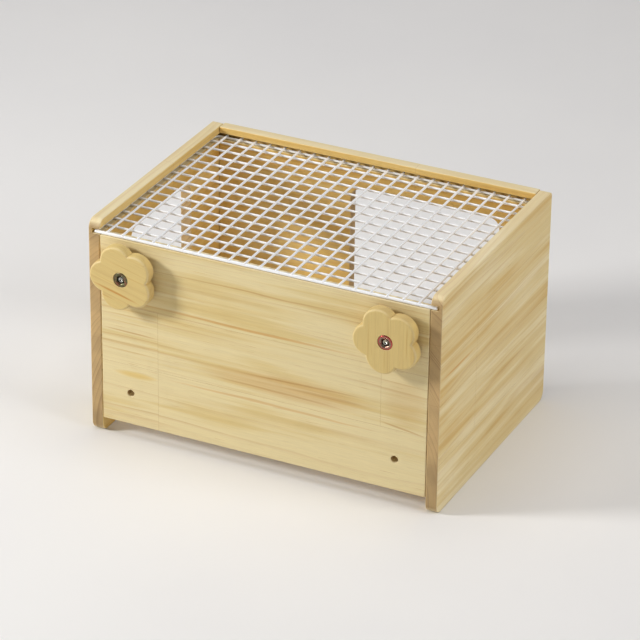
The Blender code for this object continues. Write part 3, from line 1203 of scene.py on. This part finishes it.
# cross wires
cross_at = {}
for j, y in enumerate(CROSS_YS):
    if j == 0:
        cross_at[j] = lambda x, y=y: y
        continue
    cross_at[j] = lambda x, y=y, j=j: y + wobble(j + 1.7, x * 9, 0.10 * MM)
    pts = []
    for i in range(25):
        x = -RAIL_X + 2 * RAIL_X * i / 24
        ends = min(1.0, 8 * min(i, 24 - i) / 24)
        pts.append((x, y + (cross_at[j](x) - y) * ends, LEVEL))
    tube(bm, pts, WIRE, 14, 0.0, layer)
# wires that run front to back
for i, x in enumerate(LONG_XS):
    start, stop = ROD_Y - 0.2 * MM, 123.2 * MM + 0.35 * MM * math.sin(i * 2.3)
    pts = []
    for k in range(29):
        y = start + (stop - start) * k / 28
        sag = wobble(i * 1.3 + 0.4, y * 9, 0.11 * MM)
        lift = 0.05 * MM * math.sin(i * 3.1 + k * 0.9)
        pts.append((x + sag, y, UPPER + lift))
    tube(bm, pts, WIRE, 14, 0.0, layer)
    for j in range(len(CROSS_YS)):
        y = cross_at[j](x)
        at = (x + wobble(i * 1.3 + 0.4, y * 9, 0.11 * MM), y, (LEVEL + UPPER) / 2)
        swell = 1.0 + 0.10 * math.sin(i * 5.3 + j * 7.1)
        blob(bm, layer, at, 1.34 * MM * swell, 1.34 * MM * swell, 1.05 * MM, 0.6 * i + j)
    blob(bm, layer, (x, ROD_Y + 0.9 * MM, UPPER - 0.75 * MM), 1.35 * MM, 1.6 * MM, 0.8 * MM)
for j in range(1, len(CROSS_YS)):
    for sign in (-1, 1):
        blob(
            bm,
            layer,
            (sign * RAIL_X, CROSS_YS[j], LEVEL),
            1.5 * MM,
            1.6 * MM,
            1.25 * MM,
        )
wire_top = mesh_object("welded_wire_top", bm)
wire_top.data.shade_smooth()
settle(wire_top, "wire_top", "white_coated_wire", coated_wire("white_dip_coating"), "wire_mesh_top")


# ------------------------------------------------------------------ flower knobs
LOBE, CENTRES, ROUND = 15.75 * MM, 16.35 * MM, 2.4 * MM
KNOB_TURN = {"left": 2.0, "right": 7.0}
KNOB_THICK = KNOB_BACK - KNOB_FACE


def flower(lobe, turn, steps):
    """Five round lobes, one of them pointing left at no turn."""
    notch = CENTRES * math.cos(math.radians(36)) + math.sqrt(
        lobe**2 - (CENTRES * math.sin(math.radians(36))) ** 2
    )
    reach = math.degrees(
        math.atan2(
            notch * math.sin(math.radians(36)),
            notch * math.cos(math.radians(36)) - CENTRES,
        )
    )
    points = []
    for k in range(5):
        at = 36 + 72 * k + turn
        centre = (
            CENTRES * math.cos(math.radians(at)),
            CENTRES * math.sin(math.radians(at)),
        )
        points += arc(centre, lobe, at - reach, at + reach, steps)[:-1]
    return points


def flower_knob(name, turn, place):
    """Stacks of the outline, drawn in towards both faces so that the rims are rounded."""
    half, steps, rims = KNOB_THICK / 2, 30, 8
    levels = []
    for i in range(rims + 1):
        a = math.pi / 2 * i / rims
        levels.append((LOBE - ROUND * (1 - math.sin(a)), -half + ROUND * (1 - math.cos(a))))
    levels += [(lobe, -z) for lobe, z in reversed(levels)]
    bm = bmesh.new()
    rings = []
    for lobe, z in levels:
        rings.append(
            [bm.verts.new(place @ Vector((x, y, z))) for x, y in flower(lobe, turn, steps)]
        )
    n = len(rings[0])
    bm.faces.new(rings[0][::-1])
    bm.faces.new(rings[-1])
    for a, b in zip(rings, rings[1:]):
        for i in range(n):
            j = (i + 1) % n
            bm.faces.new((a[i], a[j], b[j], b[i]))
    obj = mesh_object(name, bm)
    tools = bmesh.new()
    lathe(
        tools,
        [
            (0, -half - 2 * MM),
            (5.9 * MM, -half - 1 * MM),
            (4.5 * MM, -half + 0.4 * MM),
            (4.5 * MM, half - 1.6 * MM),
            (7.3 * MM, half - 1.6 * MM),
            (7.3 * MM, half - 0.25 * MM),
            (9.0 * MM, half + 1.45 * MM),
            (0, half + 1.45 * MM),
        ],
        place,
        64,
    )
    cut(obj, tools)
    return obj


KNOB_MIDDLE = (KNOB_FACE + KNOB_BACK) / 2
grains = {
    # direction of the grain on the face, then each stave's wood
    "left": (
        Vector((math.cos(math.radians(-15.0)), 0, math.sin(math.radians(-15.0)))),
        [(9, [(9, 0.22, 0.02, (12, 0, 0), 0.0)])],
    ),
    "right": (
        Vector((math.sin(math.radians(2.0)), 0, math.cos(math.radians(2.0)))),
        [
            (0.1330, [(9, 0.22, -0.10, (40, 0, 0), 0.004)]),
            (9, [(9, 0.02, 0.16, (-40, 0, 0), 0.002)]),
        ],
    ),
}
knob_marks = {
    "left": [
        (-175.6, 116.2, 28, 1.3, 0.0, 0.85, STREAK),
        (-180, 124.0, 22, 0.8, 0.0, 0.40, WARM),
        (-165, 136.5, 26, 0.9, 0.01, 0.40, WARM),
        (-172, 143.5, 24, 0.7, 0.0, 0.35, WARM),
        (-186, 108.5, 14, 0.8, 0.0, 0.40, STREAK),
    ],
    "right": [
        (158, 128.3, 16, 0.7, 0.0, 0.50, WARM),
        (180, 149.0, 20, 0.8, 0.0, 0.55, WARM),
        (172, 112.0, 30, 0.9, 0.01, 0.30, WARM),
        (175, 154.5, 26, 3.5, 0.0, 0.40, WARM),
    ],
}
for side, (bolt_x, bolt_z) in BOLTS.items():
    place = facing_front(bolt_x, KNOB_MIDDLE, bolt_z)
    knob = flower_knob(f"flower_knob_{side}", KNOB_TURN[side], place)
    along, rows = grains[side]
    across = Vector((-along.z, 0, along.x)) if side == "left" else X
    middle = Vector((bolt_x, KNOB_FACE, bolt_z)) * 1000
    # the pith lies below the knob's face, off to one side
    fixed = []
    for top, staves in rows:
        fixed.append(
            (
                top,
                [
                    (
                        e,
                        t,
                        w,
                        (
                            s[0],
                            -middle.dot(across) + (26 if side == "left" else 31),
                            -middle.y - (46 if side == "left" else 60),
                        ),
                        g,
                    )
                    for e, t, w, s, g in staves
                ],
            )
        )
    lay_staves(knob, along, across, fixed)
    shade(knob, 38)
    settle(
        knob,
        f"knob_{side}_body",
        "pine_knob",
        pine(
            f"pine_knob_{side}",
            along,
            across,
            Y,
            spacing=8.0,
            contrast=0.25,
            streaks=0.38,
            flat_only=True,
            seed=3.0 if side == "left" else 13.0,
            sway=6.0,
            rate=0.0035,
            tint=(0.86, 0.77, 0.52),
            # painted light: the end grain on the knob flanks is darkened only faintly, so the flanks stay
            # pale as if lit
            end_gain=0.30,
            marks=knob_marks[side],
        ),
        f"knob_{side}",
    )

# ------------------------------------------------------------------ hardware
for side, (x, bolt_z) in BOLTS.items():
    face = KNOB_THICK / 2
    place = facing_front(x, KNOB_MIDDLE, bolt_z)

    # insert nut: domed flange, hex drive, coarse outer thread, plain bore behind the drive
    bm = bmesh.new()
    steps = 72
    profile = [
        (3.3, -face + 0.5),
        (3.75, -face + 0.5),
        (3.95, -face + 0.9),
    ]
    pitch, low, high = 2.0, -face + 0.9, face - 1.6
    rows = []
    for r, z in [(3.3, -face / MM + 0.5), (3.72, -face / MM + 0.5)]:
        rows.append([(r * MM, z * MM)] * steps)
    z = -face / MM + 0.8
    while z < face / MM - 1.9:
        row = []
        for i in range(steps):
            t = (z / pitch - i / steps) % 1.0
            crest = max(0.0, 1.0 - abs(t - 0.5) * 4.0)
            fade = min(1.0, (z + face / MM - 0.8) / 0.8, (face / MM - 1.9 - z) / 0.6 + 0.2)
            row.append(((3.78 + 0.50 * crest * max(0.0, fade)) * MM, z * MM))
        rows.append(row)
        z += 0.25
    top = face / MM - 0.1
    for r, z in [
        (4.15, top - 1.2),
        (6.6, top - 1.2),
        (6.93, top - 1.05),
        (7.0, top - 0.75),
        (6.9, top - 0.42),
        (6.6, top - 0.20),
        (6.1, top - 0.06),
        (5.5, top),
        (5.0, top),
        (4.75, top - 0.08),
    ]:
        rows.append([(r * MM, z * MM)] * steps)

    def hexagon(flats, i):
        a = (2 * math.pi * i / steps + math.pi / 6) % (math.pi / 3) - math.pi / 6
        return flats / 2 / math.cos(a)

    for flats, z in ((8.0, top - 0.35), (7.3, top - 0.8), (7.3, top - 4.2)):
        rows.append([(min(hexagon(flats, i), 4.65) * MM, z * MM) for i in range(steps)])
    rows.append([(3.3 * MM, (top - 4.4) * MM)] * steps)
    rings = [
        [
            bm.verts.new(
                place
                @ Vector(
                    (
                        r * math.cos(2 * math.pi * i / steps),
                        r * math.sin(2 * math.pi * i / steps),
                        z,
                    )
                )
            )
            for i, (r, z) in enumerate(row)
        ]
        for row in rows
    ]
    for a, b in zip(rings, rings[1:] + rings[:1]):
        for i in range(steps):
            j = (i + 1) % steps
            bm.faces.new((a[i], a[j], b[j], b[i]))
    nut = mesh_object(f"hex_insert_{side}", bm)
    shade(nut, 40, weighted=False)
    if side == "left":
        metal = plated(
            "passivated_insert_left",
            srgb(122, 116, 84),
            srgb(84, 84, 62),
            srgb(150, 92, 72),
            0.34,
            (x, bolt_z),
        )
    else:
        metal = plated(
            "passivated_insert_right",
            srgb(150, 138, 118),
            srgb(120, 100, 88),
            srgb(196, 84, 78),
            0.30,
            (x, bolt_z),
            0.85,
        )
    settle(nut, f"knob_{side}_body", "plated_nut", metal, f"insert_nut_{side}")

    # bolt: rolled thread all along, chamfered point with a dimple, truss head, hex socket
    on_panel = facing_front(x, FRONT_Y, bolt_z)
    tip = (FRONT_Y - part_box(f"bolt_{side}")[0].y) / MM
    under = -(BOARD + 0.3 * MM + 1.2 * MM + 0.3 * MM) / MM
    bm = bmesh.new()
    steps = 32
    rows = [
        [(6.5, under)] * steps,
        [(2.95, under)] * steps,
    ]
    z = under + 0.4
    while z < tip - 0.35:
        row = []
        for i in range(steps):
            t = (z - i / steps) % 1.0
            crest = 1.0 - abs(t - 0.5) * 2.0
            crest = min(1.0, max(0.0, (crest - 0.10) / 0.75))
            grow = min(1.0, (z - under - 0.4) / 0.6)
            shrink = max(0.0, min(1.0, (tip - 0.35 - z) / 0.75))
            r = 2.42 + 0.53 * crest * min(grow, 0.25 + 0.75 * shrink)
            row.append((r, z))
        rows.append(row)
        z += 0.125
    rows.append([(2.28, tip)] * steps)
    rows.append([(1.85, tip - 0.05)] * steps)
    rows.append([(1.30, tip - 0.75)] * steps)
    rings = [
        [
            bm.verts.new(
                on_panel
                @ Vector(
                    (
                        r * MM * math.cos(2 * math.pi * i / steps),
                        r * MM * math.sin(2 * math.pi * i / steps),
                        z * MM,
                    )
                )
            )
            for i, (r, z) in enumerate(row)
        ]
        for row in rows
    ]
    point = bm.verts.new(on_panel @ Vector((0, 0, (tip - 1.35) * MM)))
    for a, b in zip(rings, rings[1:]):
        for i in range(steps):
            j = (i + 1) % steps
            bm.faces.new((a[i], a[j], b[j], b[i]))
    for i in range(steps):
        bm.faces.new((rings[-1][i], rings[-1][(i + 1) % steps], point))
    dome = [(6.5, -0.55), (6.35, -0.95), (6.0, -1.4), (5.4, -1.9), (4.6, -2.4), (3.7, -2.8), (2.6, -3.05)]
    previous = rings[0]
    for r, dz in dome:
        ring = [
            bm.verts.new(
                on_panel
                @ Vector(
                    (
                        r * MM * math.cos(2 * math.pi * i / steps),
                        r * MM * math.sin(2 * math.pi * i / steps),
                        (under + dz) * MM,
                    )
                )
            )
            for i in range(steps)
        ]
        for i in range(steps):
            j = (i + 1) % steps
            bm.faces.new((previous[i], ring[i], ring[j], previous[j]))
        previous = ring
    bm.faces.new(previous)
    bolt = mesh_object(f"clamp_bolt_{side}", bm)
    socket = bmesh.new()
    steps = 6
    lathe(
        socket,
        [(0, -2.2 * MM), (2.31 * MM, -1.6 * MM), (2.31 * MM, 3.0 * MM), (0, 3.0 * MM)],
        Matrix.Translation((x, FRONT_Y - (under - 3.05) * MM, bolt_z))
        @ Matrix.Rotation(-math.pi / 2, 4, "X"),
        6,
    )
    cut(bolt, socket)
    shade(bolt, 35, weighted=False)
    settle(
        bolt,
        "hutch_box",
        "plated_bolt",
        plated(
            f"zinc_bolt_{side}",
            srgb(206, 206, 198),
            srgb(160, 160, 154),
            srgb(186, 178, 152),
            0.13,
            (x, bolt_z),
        ),
        f"bolt_{side}",
    )

    bm = bmesh.new()
    a = -(BOARD + 0.3 * MM) / MM
    lathe(
        bm,
        [
            (r * MM, z * MM)
            for r, z in [
                (3.3, a - 0.15),
                (3.45, a),
                (7.75, a),
                (7.94, a - 0.08),
                (8.0, a - 0.3),
                (8.0, a - 0.95),
                (7.88, a - 1.14),
                (7.6, a - 1.2),
                (3.45, a - 1.2),
                (3.3, a - 1.05),
            ]
        ],
        on_panel,
        72,
        ring=True,
    )
    washer = mesh_object(f"flat_washer_{side}", bm)
    shade(washer, 40, weighted=False)
    settle(
        washer,
        "hutch_box",
        "plated_bolt",
        plated(
            f"zinc_washer_{side}",
            srgb(208, 208, 203),
            srgb(180, 182, 180),
            srgb(204, 198, 178),
            0.34,
            (x, bolt_z),
        ),
        f"washer_{side}",
    )

# ------------------------------------------------------------------ floor and backdrop
# a round floor with a coved wall, wide enough to hold a camera on any side of the object
bm = bmesh.new()
sweep = [(r, 0.0) for r in (0.4, 1.0, 2.0, 3.0, 4.0)]
sweep += [
    (4.0 + 1.2 * math.sin(a), 1.2 - 1.2 * math.cos(a))
    for a in [math.pi / 2 * i / 16 for i in range(1, 17)]
]
sweep += [(5.2, 3.6)]
ROUND_STEPS = 72
rings = [
    [
        bm.verts.new((r * math.cos(turn), r * math.sin(turn), z))
        for turn in [2 * math.pi * k / ROUND_STEPS for k in range(ROUND_STEPS)]
    ]
    for r, z in sweep
]
bm.faces.new(rings[0])
for low, high in zip(rings, rings[1:]):
    for k in range(ROUND_STEPS):
        j = (k + 1) % ROUND_STEPS
        bm.faces.new((low[k], high[k], high[j], low[j]))
floor = mesh_object("studio_floor", bm)
floor.data.shade_smooth()
if floor.data.polygons[0].normal.z < 0:
    floor.data.flip_normals()
ground = Net("studio_paper")
g = ground.coord.outputs["Object"]
paper = ground.noise(ground.vec("SCALE", g, scale=3.0), detail=3.0)
ground.put(
    ground.shader.inputs["Base Color"],
    ground.mix(ground.between(paper, 0.3, 0.7), srgb(240, 239, 237), srgb(236, 235, 234)),
)
ground.shader.inputs["Roughness"].default_value = 0.7
ground.shader.inputs["Specular IOR Level"].default_value = 0.25
floor.data.materials.append(ground.mat)

# ------------------------------------------------------------------ light
world = bpy.data.worlds.new("studio")
scene.world = world
world.use_nodes = True
background = world.node_tree.nodes["Background"]
background.inputs["Color"].default_value = (1.0, 0.97, 0.97, 1)
background.inputs["Strength"].default_value = 0.12


def softbox(name, azimuth, elevation, distance, size, watts, colour, aim=(0, 0, 0.10)):
    """An area light at an azimuth (0 is the front, + is right) and an elevation."""
    a, e = math.radians(azimuth), math.radians(elevation)
    towards = Vector((math.sin(a) * math.cos(e), -math.cos(a) * math.cos(e), math.sin(e)))
    lamp = bpy.data.lights.new(name, "AREA")
    lamp.shape = "RECTANGLE"
    lamp.size, lamp.size_y = size
    lamp.energy = watts
    lamp.color = colour
    obj = bpy.data.objects.new(name, lamp)
    scene.collection.objects.link(obj)
    obj.location = Vector(aim) + towards * distance
    obj.rotation_euler = towards.to_track_quat("Z", "Y").to_euler()
    return obj


softbox("key_softbox", -57, 24, 2.2, (0.42, 0.42), 34, (1.0, 0.99, 0.98))
softbox("right_softbox", 86, 34, 2.2, (1.2, 1.2), 17.5, (1.0, 0.99, 0.985))
softbox("top_softbox", 0, 84, 2.2, (1.6, 1.6), 16.5, (0.99, 0.99, 1.0))
# lights the paper behind the object, and little of the object
behind = softbox(
    "paper_softbox", 0, 90, 2.4, (1.8, 1.8), 3.6, (0.985, 0.975, 1.0), aim=(-0.75, 1.60, 0.0)
)
behind.data.spread = math.radians(85)

# ------------------------------------------------------------------ camera
AZIMUTH, ELEVATION, ROLL = (math.radians(a) for a in (25.516, 27.343, 0.731))
DISTANCE = 3.2488
towards = Vector(
    (
        math.sin(AZIMUTH) * math.cos(ELEVATION),
        -math.cos(AZIMUTH) * math.cos(ELEVATION),
        math.sin(ELEVATION),
    )
)
right = Vector((math.cos(AZIMUTH), math.sin(AZIMUTH), 0))
up = towards.cross(right)
right_rolled = right * math.cos(ROLL) + up * math.sin(ROLL)
up_rolled = up * math.cos(ROLL) - right * math.sin(ROLL)
lens = bpy.data.cameras.new("camera")
lens.sensor_width = 36.0
lens.lens = 198.28
lens.clip_start = 0.05
camera = bpy.data.objects.new("camera", lens)
scene.collection.objects.link(camera)
where = (
    Vector((0, 0, 0.105))
    + towards * DISTANCE
    + right_rolled * 2.413 * MM
    - up_rolled * 2.517 * MM
)
turn = Matrix((right_rolled, up_rolled, towards)).transposed().to_4x4()
camera.matrix_world = Matrix.Translation(where) @ turn
scene.camera = camera

scene.view_settings.view_transform = "Standard"
scene.view_settings.look = "None"
scene.view_settings.exposure = 0.0
scene.view_settings.gamma = 1.0

# ------------------------------------------------------------------ final update
bpy.context.view_layer.update()
